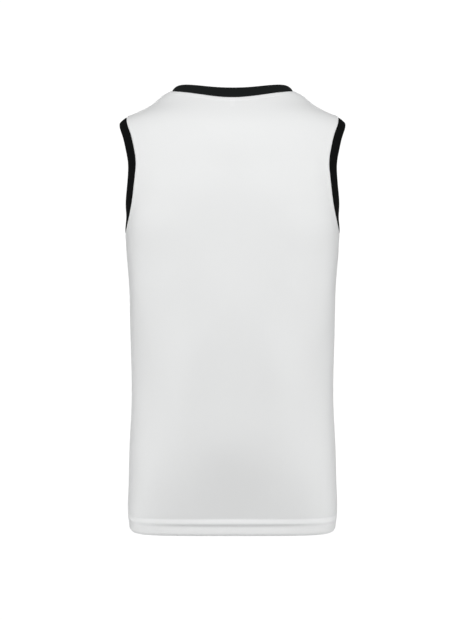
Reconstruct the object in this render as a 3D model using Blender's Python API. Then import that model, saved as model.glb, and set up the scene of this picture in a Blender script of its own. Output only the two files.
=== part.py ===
"""Basketball jersey: a sleeveless pull-on top in plain knit with rib bands, filled out as it is worn.

Metres, +Z up, -Y out of the chest, +X to the wearer's left. The origin lies midway between the two
points where the shoulder seams meet the neck band, which is where the wearer's shoulders hold it up.

Every panel is a piece of one closed figure: a stack of level sections from the hem to the neck, each
a superellipse with its own depth in front and behind. A place on it is (angle, height): the angle is
0 at the centre back or centre front and a right angle at the side line, which the side seams and the
shoulder seams follow.
"""

import math
from collections import namedtuple

import bmesh
import bpy
import numpy as np

# Driving dimensions.
BODY_LENGTH = 0.7340  # from the neck end of the shoulder seam straight down to the hem
UNDERARM_DROP = 0.2440  # from the same level down to the bottom of the armhole
SHOULDER_DROP = 0.0440  # and down to the outer end of the shoulder seam
BACK_NECK_DROP = 0.0179
FRONT_NECK_DROP = 0.1000
BACK_ARMHOLE_DEPTH = 0.0700  # how far the armhole seam reaches behind the side line
FRONT_ARMHOLE_DEPTH = 0.0780
ARMHOLE_POWER = 0.85  # under 1 makes the armhole squarer than an ellipse
NECK_BAND_WIDTH = 0.0210
ARM_BAND_WIDTH = 0.0144
NECK_BULGE = 0.0012  # how far the neck band arches outwards across its width
SHOULDER_BULGE = 0.0030  # and where it bends over the shoulder seams
ARM_BULGE = 0.0009
HEM_SAG = 0.0042  # the hem hangs this much lower at the centre than at the side seams
SAG_REACH = 0.10  # and the sag dies away this far above it
SAG_CORNER = 0.042  # and this near to the side seams
HEM_DEPTH = 0.0280  # the hem is turned up this far
HEM_ROWS = [0.0, 0.0044, 0.0097, 0.0151, 0.0209, 0.0250, 0.0292]  # rows of points, above its edge
TAB_WIDTH = 0.0080
TAB_LENGTH = 0.0170

# Walls and gaps.
KNIT = 0.0012
HEM_KNIT = 0.0022  # the turned-up hem is two layers
RIB = 0.0022
TAB = 0.0010
SEAM_GAP = 0.0004

# Mesh steps: columns on half a panel, and rows up each stretch of its edge.
HALF_COLUMNS = 14
BODY_ROWS = 14
ARMHOLE_ROWS = 16
SHOULDER_ROWS = 5
SPREADING = 400
UNROLLING = 0.15  # metres to a radian when a panel is laid flat to spread its points
TINY = 1e-5

RIGHT_ANGLE = math.pi / 2
BACK, FRONT = 1, -1

# How the turned-up hem stands out, going down: each step starts at a height above the hem's edge.
# Share is what is left of it at the side seams, and it grows from one distance to the other there.
HemStep = namedtuple("HemStep", "top height out share start whole")
HEM_STEPS = [
    HemStep(0.0292, 0.0086, 0.0035, 0.08, 0.03, 0.09),  # the ridge over the raw edge
    HemStep(0.0292, 0.0086, 0.0016, 0.00, 0.12, 0.19),  # and more of it in the middle
    HemStep(0.0212, 0.0057, -0.0023, 0.12, 0.08, 0.14),  # the dip at the lower row of stitches
    HemStep(0.0151, 0.0108, 0.0026, 0.12, 0.08, 0.14),  # the free band below it
    HemStep(0.0045, 0.0045, -0.0017, 0.20, 0.00, 0.06),  # the fold
]

# How far the arm bands flare from the cloth's own run, as a slope. Turn is 0 at the underarm and pi
# at the shoulder.
Flare = namedtuple("Flare", "turn spread amount")
FLARES = [Flare(1.10, 0.32, 0.36), Flare(2.08, 0.60, 0.46), Flare(math.pi, 0.35, -0.30)]

# height, half width, depth behind, depth in front, and how boxy the section is behind and in front.
Section = namedtuple("Section", "height half_width back front back_power front_power")
SECTIONS = [
    Section(-0.7340, 0.1722, 0.1030, 0.1180, 3.15, 3.40),
    Section(-0.7100, 0.1752, 0.1074, 0.1192, 3.20, 3.34),
    Section(-0.6700, 0.1750, 0.1130, 0.1205, 3.15, 3.20),
    Section(-0.6000, 0.1732, 0.1192, 0.1220, 2.76, 2.95),
    Section(-0.5300, 0.1698, 0.1218, 0.1215, 2.48, 2.75),
    Section(-0.4600, 0.1702, 0.1180, 0.1200, 2.38, 2.55),
    Section(-0.3900, 0.1722, 0.1135, 0.1205, 2.44, 2.55),
    Section(-0.3200, 0.1744, 0.1145, 0.1235, 2.46, 2.70),
    Section(-0.2440, 0.1794, 0.1203, 0.1255, 2.62, 2.70),
    Section(-0.2100, 0.1787, 0.1208, 0.1250, 2.63, 2.55),
    Section(-0.1700, 0.1850, 0.1187, 0.1215, 2.40, 2.30),
    Section(-0.1300, 0.2008, 0.1126, 0.1150, 2.02, 2.10),
    Section(-0.1000, 0.2084, 0.1088, 0.1060, 1.87, 2.00),
    Section(-0.0750, 0.2073, 0.1030, 0.0940, 1.80, 2.00),
    Section(-0.0570, 0.1965, 0.0950, 0.0830, 1.85, 2.00),
    Section(-0.0440, 0.1778, 0.0863, 0.0725, 1.93, 2.00),
    Section(-0.0330, 0.1540, 0.0778, 0.0635, 2.00, 2.00),
    Section(-0.0220, 0.1346, 0.0690, 0.0550, 2.00, 2.00),
    Section(-0.0110, 0.1217, 0.0602, 0.0490, 2.00, 2.00),
    Section(-0.0050, 0.1130, 0.0555, 0.0465, 2.00, 2.00),
    Section(0.0000, 0.1015, 0.0520, 0.0440, 2.00, 2.00),
    Section(0.0120, 0.0700, 0.0480, 0.0380, 2.00, 2.00),
]

# Soft hollows (negative) and swells (positive): side, x and height of the middle, half sizes, rise,
# and the tilt of its long axis from upright, in degrees, towards the side seam at its top.
Fold = namedtuple("Fold", "side x height half_width half_height rise tilt")
SEAM_HOLD = 0.035  # the folds die away this near to the side and shoulder seams
FOLDS = [
    Fold(BACK, 0.000, -0.212, 0.057, 0.098, -0.0082, 0),  # between the shoulder blades
    Fold(BACK, 0.000, -0.735, 0.112, 0.102, -0.0155, 0),  # over the hem
    Fold(BACK, 0.172, -0.229, 0.060, 0.037, 0.0080, -5),  # behind the underarm
    Fold(BACK, 0.178, -0.336, 0.036, 0.052, 0.0100, 0),
    Fold(BACK, 0.140, -0.130, 0.110, 0.040, 0.0030, -32),  # shoulder blade
    Fold(BACK, 0.154, -0.494, 0.044, 0.148, -0.0083, 20),  # flank
    Fold(BACK, 0.000, -0.597, 0.063, 0.059, 0.0073, 0),
    Fold(BACK, 0.054, -0.416, 0.054, 0.099, 0.0083, -25),  # small of the back
    Fold(BACK, 0.090, -0.325, 0.055, 0.057, 0.0058, -45),
    Fold(BACK, 0.138, -0.455, 0.040, 0.070, -0.0040, 0),  # above the hip
    Fold(BACK, 0.178, -0.718, 0.030, 0.026, 0.0030, 0),  # corner of the hem
    Fold(FRONT, 0.070, -0.165, 0.062, 0.060, 0.0042, -20),  # breast
    Fold(FRONT, 0.000, -0.190, 0.030, 0.085, -0.0030, 0),
    Fold(FRONT, 0.000, -0.300, 0.085, 0.050, -0.0030, 0),
    Fold(FRONT, 0.000, -0.470, 0.090, 0.090, 0.0040, 0),  # belly
    Fold(FRONT, 0.000, -0.745, 0.080, 0.085, -0.0055, 0),
    Fold(FRONT, 0.150, -0.450, 0.034, 0.120, -0.0045, 3),
    Fold(FRONT, 0.118, -0.600, 0.042, 0.115, -0.0050, -2),
    Fold(FRONT, 0.150, -0.262, 0.034, 0.046, 0.0036, 32),
    Fold(FRONT, 0.120, -0.300, 0.018, 0.070, -0.0018, 38),  # drag line from the underarm
    Fold(FRONT, 0.062, -0.560, 0.028, 0.080, 0.0018, 12),
]


def spline_slopes(at, values):
    """Slopes at the knots of the natural cubic spline through (at, values)."""
    step = np.diff(at)
    secant = np.diff(values, axis=0) / step[:, None]
    count = len(at)
    left = np.zeros((count, count))
    right = np.zeros((count, values.shape[1]))
    left[0, :2] = 2, 1
    left[-1, -2:] = 1, 2
    right[0], right[-1] = 3 * secant[0], 3 * secant[-1]
    for k in range(1, count - 1):
        left[k, k - 1] = step[k]
        left[k, k] = 2 * (step[k - 1] + step[k])
        left[k, k + 1] = step[k - 1]
        right[k] = 3 * (secant[k - 1] * step[k] + secant[k] * step[k - 1])
    return np.linalg.solve(left, right)


TABLE = np.array(SECTIONS)
KNOTS, SHAPES = TABLE[:, 0], TABLE[:, 1:]
SLOPES = spline_slopes(KNOTS, SHAPES)


def section_at(height):
    """Half width, the two depths and the two powers of the section at each height."""
    k = np.clip(np.searchsorted(KNOTS, height) - 1, 0, len(KNOTS) - 2)
    step = KNOTS[k + 1] - KNOTS[k]
    t = ((height - KNOTS[k]) / step)[..., None]
    rise = step[..., None]
    return (
        (1 + 2 * t) * (1 - t) ** 2 * SHAPES[k]
        + t * (1 - t) ** 2 * rise * SLOPES[k]
        + t * t * (3 - 2 * t) * SHAPES[k + 1]
        + t * t * (t - 1) * rise * SLOPES[k + 1]
    )


def half_section(height, side):
    """Half width, depth and power of the section's half on that side."""
    shape = section_at(height)
    depth, power = (1, 3) if side == BACK else (2, 4)
    return shape[..., 0], shape[..., depth], shape[..., power]


def drape(x, away, height, side):
    """How far the cloth stands out from the plain figure, which it doesn't at the side seams."""
    total = np.zeros_like(x)
    for fold in FOLDS:
        if fold.side != side:
            continue
        for hand in (1, -1) if fold.x else (1,):
            lean = math.radians(fold.tilt)
            dx, dz = x * hand - fold.x, height - fold.height
            across = (dx * math.cos(lean) - dz * math.sin(lean)) / fold.half_width
            along = (dx * math.sin(lean) + dz * math.cos(lean)) / fold.half_height
            total += fold.rise * np.exp(-(across**2) - along**2)
    return total * (1 - np.exp(-((away / SEAM_HOLD) ** 2)))


def section_radius(angle, height, side):
    """Distance from the upright axis to the section at an angle, before it is draped."""
    half_width, depth, power = half_section(height, side)
    across, away = np.abs(np.sin(angle)) / half_width, np.abs(np.cos(angle)) / depth
    return (across**power + away**power) ** (-1 / power)


def sag(away, height):
    """How much lower the cloth hangs than its own height, near the hem behind and in front."""
    low = np.exp(-(((height + BODY_LENGTH) / SAG_REACH) ** 2))
    return HEM_SAG * low * (1 - np.exp(-((away / SAG_CORNER) ** 2)))


def figure(angle, height, side):
    """Points of the outer surface at these angles and heights."""
    radius = section_radius(angle, height, side)
    x, away = radius * np.sin(angle), radius * np.cos(angle)
    y = side * (away + drape(x, away, height, side))
    return np.stack([x, y, height - sag(away, height)], axis=-1)


def unit(vectors):
    return vectors / np.linalg.norm(vectors, axis=-1, keepdims=True)


def figure_normal(angle, height, side):
    """Outward normals of the outer surface."""
    round_it = figure(angle + TINY, height, side) - figure(angle - TINY, height, side)
    up_it = figure(angle, height + TINY, side) - figure(angle, height - TINY, side)
    return unit(np.cross(up_it, round_it) * side)


def neck_height(angle, side):
    """Height of the neck seam at an angle. Behind, it dips from the shoulders. In front, it is an
    ellipse when seen from above, and its height is found by halving."""
    if side == BACK:
        return -BACK_NECK_DROP * np.abs(np.cos(angle)) ** 1.3
    half_width = half_section(np.array(0.0), side)[0]
    depth = half_section(np.array(-FRONT_NECK_DROP), side)[1]
    radius = np.hypot(np.sin(angle) / half_width, np.cos(angle) / depth) ** -1.0
    low, high = np.full(np.shape(angle), -1.2 * FRONT_NECK_DROP), np.zeros(np.shape(angle))
    for _ in range(40):
        height = (low + high) / 2
        wide = section_radius(angle, height, side) > radius
        low, high = np.where(wide, height, low), np.where(wide, high, height)
    return (low + high) / 2


def neck_lean(angle):
    """How far the neck band leans in from upright: most at the shoulders, least at the back."""
    return math.radians(32) + math.radians(27) * np.sin(angle) ** 2


def armhole_seam(turn, side):
    """(angle, height) of the armhole seam; turn is 0 at the underarm and pi at the shoulder."""
    middle = -(UNDERARM_DROP + SHOULDER_DROP) / 2
    half = (UNDERARM_DROP - SHOULDER_DROP) / 2
    reach = BACK_ARMHOLE_DEPTH if side == BACK else FRONT_ARMHOLE_DEPTH
    height = middle - half * np.cos(turn)
    behind = reach * np.abs(np.sin(turn)) ** ARMHOLE_POWER
    half_width, depth, power = half_section(height, side)
    x = half_width * (1 - (behind / depth) ** power) ** (1 / power)
    return np.arctan2(x, behind), height


def side_line(height):
    """The angle of a panel's edge beside the side seam or shoulder seam."""
    return RIGHT_ANGLE - SEAM_GAP / 2 / section_at(height)[..., 0]


def smooth(t):
    t = np.clip(t, 0, 1)
    return t * t * (3 - 2 * t)


def hem_rise(angle, height, side):
    """How far the turned-up hem stands out from the figure."""
    radius = section_radius(angle, height, side)
    inwards = half_section(height, side)[0] - radius * np.abs(np.sin(angle))
    beside = np.hypot(inwards, radius * np.cos(angle))
    total = np.zeros_like(beside)
    for step in HEM_STEPS:
        grown = smooth((beside - step.start) / (step.whole - step.start))
        down = smooth((step.top - height - BODY_LENGTH) / step.height)
        total += step.out * (step.share + (1 - step.share) * grown) * down
    return total


def panel_edge(side):
    """(angles, heights) up one edge of a panel above the hem: side seam, armhole, shoulder seam."""
    body = np.linspace(HEM_ROWS[-1] - BODY_LENGTH, -UNDERARM_DROP, BODY_ROWS + 1)[1:]
    turn = np.linspace(0, math.pi, ARMHOLE_ROWS + 1)[1:-1]
    hole_angle, hole_height = armhole_seam(turn, side)
    shoulder = np.linspace(-SHOULDER_DROP, 0, SHOULDER_ROWS + 1)
    angles = np.concatenate([side_line(body), hole_angle, side_line(shoulder)])
    return angles, np.concatenate([body, hole_height, shoulder])


def spread(grid):
    """A grid of points in the plane, spread evenly between its own edges without folding over:
    each inner point goes where the grid's inverse is a harmonic map (Winslow's smoothing)."""
    for _ in range(SPREADING):
        left, right = grid[:, 1:-1, :-2], grid[:, 1:-1, 2:]
        below, above = grid[:, :-2, 1:-1], grid[:, 2:, 1:-1]
        across, along = (right - left) / 2, (above - below) / 2
        a = np.sum(along * along, axis=0)
        b = np.sum(across * along, axis=0)
        c = np.sum(across * across, axis=0)
        twist = grid[:, 2:, 2:] - grid[:, 2:, :-2] - grid[:, :-2, 2:] + grid[:, :-2, :-2]
        moved = a * (left + right) + c * (below + above) - b * twist / 2
        grid[:, 1:-1, 1:-1] = moved / (2 * (a + c))
    return grid


def panel_grid(side):
    """(angles, heights) of a panel's points. Rows are level at the hem, and above it they join one
    edge to the other, up to the neck seam."""
    share = np.linspace(-1, 1, 2 * HALF_COLUMNS + 1)
    hem = np.array(HEM_ROWS) - BODY_LENGTH
    edge_angle, edge_height = panel_edge(side)
    edge_angle = np.concatenate([side_line(hem), edge_angle])[:, None]
    edge_height = np.concatenate([hem, edge_height])[:, None]
    angles = edge_angle * share
    rise = np.clip(1 - edge_height / hem[-1], 0, 1) ** 2
    dip = neck_height(angles, side) - neck_height(edge_angle, side)
    heights = edge_height + rise * dip
    heights[-1] = neck_height(share * RIGHT_ANGLE, side)
    flat = np.stack([angles * UNROLLING, heights])
    flat[:, len(hem) - 1 :] = spread(flat[:, len(hem) - 1 :])
    return flat[0] / UNROLLING, flat[1]


def loft(name, rings, closed):
    """An object whose surface runs through rings of points, each ring closed. An open loft ends in
    strips that join the two long sides of its first and of its last ring."""
    mesh = bmesh.new()
    verts = [[mesh.verts.new(point) for point in ring] for ring in rings]
    count = len(verts[0])
    side = count if closed else count // 2
    pairs = list(zip(verts, verts[1:]))
    if closed:
        pairs.append((verts[-1], verts[0]))
    for low, high in pairs:
        for k in range(count):
            after = (k + 1) % count
            if k % side < side // 2:  # the same diagonals on both faces of the wall
                corners = (low[k], low[after], high[after]), (low[k], high[after], high[k])
            else:
                corners = (low[k], low[after], high[k]), (low[after], high[after], high[k])
            for corner in corners:
                mesh.faces.new(corner)
    if not closed:
        for ring in (verts[0], verts[-1]):
            for k in range(side - 1):
                opposite = count - 1 - k
                mesh.faces.new((ring[k], ring[k + 1], ring[opposite - 1]))
                mesh.faces.new((ring[k], ring[opposite - 1], ring[opposite]))
    bmesh.ops.recalc_face_normals(mesh, faces=mesh.faces)
    data = bpy.data.meshes.new(name)
    mesh.to_mesh(data)
    mesh.free()
    data.shade_smooth()
    return bpy.data.objects.new(name, data)


def panel(name, side):
    """A body panel: a wall of knit on the figure, thicker where the hem is turned up."""
    angles, heights = panel_grid(side)
    normals = figure_normal(angles, heights, side)
    rise = hem_rise(angles, heights, side)[..., None]
    outer = figure(angles, heights, side) + normals * rise
    wall = np.where(heights < HEM_DEPTH - BODY_LENGTH, HEM_KNIT, KNIT)[..., None]
    inner = outer - normals * wall
    return loft(name, np.concatenate([outer, inner[:, ::-1]], axis=1), closed=False)


def band_section(width, bulge):
    """(along, out) points round a folded rib band, along from its seam towards its fold."""
    soft = RIB / 2
    return [
        (SEAM_GAP, 0.0),
        (0.22 * width, bulge * 0.75),
        (0.50 * width, bulge),
        (0.78 * width, bulge * 0.75),
        (width - soft, bulge * 0.2),
        (width, -soft),
        (width - soft, bulge * 0.2 - RIB),
        (0.75 * width, bulge * 0.75 - RIB),
        (0.40 * width, bulge - RIB),
        (SEAM_GAP, -RIB),
    ]


def band(seam, toward, width, bulge):
    """Rings of a folded rib band sewn round a closed seam. From each point it goes the way toward
    points, square to the seam, and bulges outwards by its own amount there."""
    ahead = unit(np.roll(seam, -1, axis=0) - np.roll(seam, 1, axis=0))
    inward = unit(toward - ahead * np.sum(toward * ahead, axis=-1, keepdims=True))
    out = np.cross(ahead, inward)
    section = np.array([band_section(width, rise) for rise in bulge])
    return (
        seam[:, None]
        + inward[:, None] * section[..., :1]
        + out[:, None] * section[..., 1:]
    )


def seam_loop(back, front):
    """Points of a closed seam from its (angles, heights) behind and in front, the figure's normals
    there, and the way that the cloth runs on across the seam."""
    seam = np.concatenate([figure(*back, BACK), figure(*front, FRONT)])
    normals = np.concatenate(
        [figure_normal(*back, BACK), figure_normal(*front, FRONT)]
    )
    ahead = unit(np.roll(seam, -1, axis=0) - np.roll(seam, 1, axis=0))
    return seam, normals, unit(np.cross(normals, ahead))


def neck_band():
    """The rib band round the neck, its stations at the panels' own columns. It stands up from the
    shoulders and the back, and lies along the chest in front."""
    share = np.linspace(-1, 1, 2 * HALF_COLUMNS + 1)
    back = share[::-1] * RIGHT_ANGLE
    front = share[1:-1] * RIGHT_ANGLE
    seam, _, flat = seam_loop(
        (back, neck_height(back, BACK)), (front, neck_height(front, FRONT))
    )
    angle = np.concatenate([back, front])
    lean = neck_lean(angle)[:, None]
    centre = unit(seam * [-1, -1, 0])
    standing = np.cos(lean) * [0, 0, 1] + np.sin(lean) * centre
    beside = np.sin(angle) ** 4
    upright = np.where(np.arange(len(angle)) < len(back), 1, beside)[:, None]
    toward = upright * standing + (1 - upright) * flat
    bulge = NECK_BULGE + (SHOULDER_BULGE - NECK_BULGE) * beside
    return loft("neck_band", band(seam, toward, NECK_BAND_WIDTH, bulge), closed=True)


def arm_band(name, hand):
    """The rib band round an armhole, on the wearer's left (hand 1) or right (hand -1)."""
    turn = np.linspace(0, math.pi, ARMHOLE_ROWS + 1)
    back = armhole_seam(turn, BACK)
    front = armhole_seam(turn[::-1][1:-1], FRONT)
    seam, normals, flat = seam_loop(back, front)
    around = np.concatenate([turn, turn[::-1][1:-1]])
    flare = sum(f.amount * np.exp(-(((around - f.turn) / f.spread) ** 2)) for f in FLARES)
    toward = flat + normals * flare[:, None]
    rings = band(seam, toward, ARM_BAND_WIDTH, np.full(len(seam), ARM_BULGE))
    return loft(name, rings * [hand, 1, 1], closed=True)


def neck_tab():
    """A small blank tab that hangs inside the back from the neck seam."""
    heights = -BACK_NECK_DROP - 0.0010 - np.linspace(TAB_LENGTH, 0, 6)[:, None]
    across = np.linspace(-1, 1, 5) * TAB_WIDTH / 2
    angles = np.arctan2(across, half_section(heights, BACK)[1])
    heights = np.repeat(heights, len(across), axis=1)
    surface, normals = figure(angles, heights, BACK), figure_normal(angles, heights, BACK)
    outer = surface - normals * (KNIT + SEAM_GAP)
    inner = outer - normals * TAB
    rings = np.concatenate([outer, inner[:, ::-1]], axis=1)
    return loft("neck_tab", rings, closed=False)


def finish(obj, collection, colour, roughness):
    """Puts a piece in the collection with its own material."""
    material = bpy.data.materials.new(obj.name)
    material.use_nodes = True
    shader = material.node_tree.nodes["Principled BSDF"]
    shader.inputs["Base Color"].default_value = (*colour, 1)
    shader.inputs["Roughness"].default_value = roughness
    shader.inputs["Metallic"].default_value = 0
    obj.data.materials.append(material)
    collection.objects.link(obj)


def main():
    for obj in list(bpy.data.objects):
        bpy.data.objects.remove(obj)
    collection = bpy.data.collections.new("basketball_jersey")
    bpy.context.scene.collection.children.link(collection)
    white, black = (0.83, 0.83, 0.83), (0.012, 0.013, 0.013)
    finish(panel("back_panel", BACK), collection, white, 0.75)
    finish(panel("front_panel", FRONT), collection, white, 0.75)
    finish(neck_band(), collection, black, 0.85)
    finish(arm_band("left_arm_band", 1), collection, black, 0.85)
    finish(arm_band("right_arm_band", -1), collection, black, 0.85)
    finish(neck_tab(), collection, white, 0.7)


main()
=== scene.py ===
"""Looks of the basketball jersey: knit panels with their sewing, rib bands, studio light and camera.

Metres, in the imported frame: +Z up, -Y out of the chest, +X to the wearer's left, the origin midway
between the neck ends of the shoulder seams. The cloth follows the same figure as the solids: a stack
of level superellipse sections, where a place is (angle, height) and the angle is 0 at the centre
back or centre front and a right angle at the side line.
"""

import math
from collections import namedtuple

import bpy
import numpy as np
from mathutils import Matrix
from mathutils.kdtree import KDTree


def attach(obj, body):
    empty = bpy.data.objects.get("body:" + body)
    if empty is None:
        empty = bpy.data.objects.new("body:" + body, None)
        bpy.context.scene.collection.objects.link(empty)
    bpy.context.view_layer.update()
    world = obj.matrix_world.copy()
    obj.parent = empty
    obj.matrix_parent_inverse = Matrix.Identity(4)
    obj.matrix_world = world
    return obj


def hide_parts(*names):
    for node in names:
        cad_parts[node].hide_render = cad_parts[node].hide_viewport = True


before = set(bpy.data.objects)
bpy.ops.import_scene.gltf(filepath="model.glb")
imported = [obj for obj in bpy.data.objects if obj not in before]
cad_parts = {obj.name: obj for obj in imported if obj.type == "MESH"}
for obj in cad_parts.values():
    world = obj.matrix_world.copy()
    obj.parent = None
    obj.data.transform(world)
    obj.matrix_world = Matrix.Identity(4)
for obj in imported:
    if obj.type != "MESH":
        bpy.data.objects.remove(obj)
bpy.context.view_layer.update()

# Driving dimensions, the same as the solids'.
BODY_LENGTH = 0.7340
UNDERARM_DROP = 0.2440
SHOULDER_DROP = 0.0440
BACK_NECK_DROP = 0.0179
BACK_NECK_POWER = 1.3
FRONT_NECK_DROP = 0.1000
BACK_ARMHOLE_DEPTH = 0.0700
FRONT_ARMHOLE_DEPTH = 0.0780
ARMHOLE_POWER = 0.85
NECK_BAND_WIDTH = 0.0210
ARM_BAND_WIDTH = 0.0144
NECK_LEAN, NECK_LEAN_MORE = math.radians(32), math.radians(27)
NECK_BULGE = 0.0012
SHOULDER_BULGE = 0.0030
ARM_BULGE = 0.0009
HEM_SAG = 0.0042  # the hem hangs this much lower at the centre than at the side seams
SAG_REACH = 0.10
SAG_CORNER = 0.042
HEM_DEPTH = 0.0280  # the hem is turned up this far
ABOVE_HEM = 0.0300  # and from here on up the cloth hangs single
TAB_WIDTH = 0.0080
TAB_LENGTH = 0.0170
TAB_DROP = 0.0004  # from the neck seam to the tab
TAB_LIFT = 0.0003  # and from the cloth to the tab

# Walls.
KNIT = 0.0012
HEM_KNIT = 0.0022
RIB = 0.0022
TAB = 0.0009
SEAM_GAP = 0.0001  # the cloth closes on its seams more tightly than the solids

# Seams and what is turned in beside them. A reach is how far something takes to die away.
SEAM_DIP = 0.0007
SEAM_DIP_REACH = 0.0011
ALLOWANCE = 0.0078  # width of the seam allowances turned in beside the bands
SIDE_ALLOWANCE = 0.0062  # and of those turned behind at the side and shoulder seams
ALLOWANCE_BULK = 0.0011  # how far they stand in on the inside
ALLOWANCE_STEP = 0.0010
ALLOWANCE_RISE = 0.00045  # and show through outside
SIDE_SHOWS = 0.0060
ARM_SHOW_STEP, NECK_SHOW_STEP, SIDE_SHOW_STEP = 0.0022, 0.0014, 0.0018
ARM_LIP = 0.0007  # the cloth lifts towards the arm bands
ARM_LIP_REACH = 0.0055
ARM_LIP_START = -0.235  # from this height up
SLACK = 0.00035  # slow unevenness of cloth that hangs free
SLACK_FROM_BAND = 0.04
SLACK_FROM_SIDE = 0.03
SLACK_FROM_HEM = 0.05
SLACK_WAVES = 9
SLACK_LENGTHS = (0.07, 0.19)

# Stitches and threads.
HEM_STITCH_ROWS = [0.0172, 0.0276]  # above the hem's edge
HEM_GROOVE = 0.00025  # how deep each row of stitches pulls into the cloth
HEM_SIDE_SHARE = 0.2  # share of the groove that is left at the side seams
HEM_SIDE_REACH = 0.06  # and how far from them it is whole
HEM_SHIFT = 0.3  # along the hem, so that its wrinkles differ behind and in front
HEM_STITCH = 0.0032
NECK_STITCH_DROP = 0.0085
NECK_GROOVE = 0.0003
NECK_STITCH = 0.0030
NECK_STITCH_MARGIN = 0.008  # left free at each end of the row
GROOVE_REACH = 0.0009
THREAD = 0.00019  # radius
STITCH_SHARE = 0.86  # of its pitch that a stitch takes up
STITCH_START = 0.07  # share of a pitch before the first stitch
OVERLOCK = 0.0045  # width of the overlocking on the allowances' raw edges
OVERLOCK_PITCH = 0.0025
OVERLOCK_POINTS = 6  # points to a pitch
OVERLOCK_THREAD = 0.00016  # radius
OVERLOCK_LIFT = 0.0001

# Rib knit.
RIB_PITCH = 0.0017
RIB_POINTS = 5  # points to a rib
RIB_RELIEF = 0.00030
JOIN_DIP = 0.0005  # where the two ends of a band are joined
JOIN_REACH = 0.0006
BAND_POINTS = 13  # points across a band on each face
HALF_LOOP = 1500  # places that each half of a band's seam is measured at

# Mesh steps of the coarse grid that the cloth's points are read from.
HEM_ROWS = [0.0, 0.0080, 0.0172, 0.0224, 0.0276, 0.0328]  # above the hem's edge
HALF_COLUMNS = 14
BODY_ROWS = 14
ARMHOLE_ROWS = 16
SHOULDER_ROWS = 5
SPREADING = 400  # rounds of smoothing
UNROLLING = 0.15  # metres to a radian
TINY = 1e-5

# Mesh steps of the fine grid. The lists are places within one coarse row.
FINE_COLUMNS = 164
EDGE_CROWDING = 0.8
FOLD_PLACES = [0, 0.006, 0.02, 0.05, 0.09, 0.137, 0.2, 0.3, 0.42, 0.56, 0.7, 0.85, 1.0]
ABOVE_HEM_PLACES = [0.06, 0.13, 0.21, 0.3, 0.4, 0.52, 0.66, 0.82, 1.0]
BODY_SPLIT = 6
ARMHOLE_SPLIT = 4
NECK_SPLIT = 16
ARC_ROWS, ARC_COLUMNS = 200, 240

RIGHT_ANGLE = math.pi / 2
BACK, FRONT = 1, -1

# Camera, in millimetres for the lens, and studio, with powers in watts.
CAMERA_PLACE = (0, 2.8, -0.3691)
LENS = 96.25
SENSOR = 36
SOFTBOX_SIZE = 1.6
FLOOR_RADIUS = 2.8
FLOOR_HEIGHT = -1.45
BACKDROP, AMBIENT = 1.05, 0.07  # strengths of the white that the camera sees and that lights
CHEST, HIPS = (0, 0, -0.30), (0, 0, -0.60)
Softbox = namedtuple("Softbox", "name place target power")
LIGHTS = [
    Softbox("key_back", (0, 2.457, 1.421), CHEST, 84),
    Softbox("key_front", (0, -2.95, 0.40), CHEST, 72),
    Softbox("side_left", (3.0, 0, -0.75), HIPS, 33),
    Softbox("side_right", (-3.0, 0, -0.75), HIPS, 33),
]

# How the turned-up hem stands out, going down: each step starts at a height above the hem's edge.
# Share is what is left of it at the side seams, and it grows from one distance to the other there.
HemStep = namedtuple("HemStep", "top height out share start whole")
HEM_STEPS = [
    HemStep(0.0292, 0.0086, 0.0035, 0.08, 0.03, 0.09),  # the ridge over the raw edge
    HemStep(0.0292, 0.0086, 0.0016, 0.00, 0.12, 0.19),  # and more of it in the middle
    HemStep(0.0212, 0.0057, -0.0023, 0.12, 0.08, 0.14),  # the dip at the lower row of stitches
    HemStep(0.0151, 0.0108, 0.0026, 0.12, 0.08, 0.14),  # the free band below it
    HemStep(0.0045, 0.0045, -0.0017, 0.20, 0.00, 0.06),  # the fold
]

# Small wrinkles that run out square from a seam.
Pucker = namedtuple("Pucker", "rise pitch reach seed")
PUCKERS = {
    "hem": Pucker(0.00022, 0.0085, 0.012, 3),
    "armhole": Pucker(0.00016, 0.0075, 0.011, 7),
    "neck": Pucker(0.00012, 0.0070, 0.010, 11),
    "side": Pucker(0.00018, 0.0120, 0.012, 13),
}

# One stitch: places along it, how far the thread's middle rises there and how thick it is, in radii.
STITCH_PLACES = [0, 0.12, 0.35, 0.65, 0.88, 1]
STITCH_RISE = [-1.2, 0.1, 0.6, 0.6, 0.1, -1.2]
STITCH_THICKNESS = [0.6, 0.9, 1, 1, 0.9, 0.6]

# How far the arm bands flare from the cloth's own run, as a slope. Turn is 0 at the underarm and pi
# at the shoulder.
Flare = namedtuple("Flare", "turn spread amount")
FLARES = [Flare(1.10, 0.32, 0.36), Flare(2.08, 0.60, 0.46), Flare(math.pi, 0.35, -0.30)]

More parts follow.
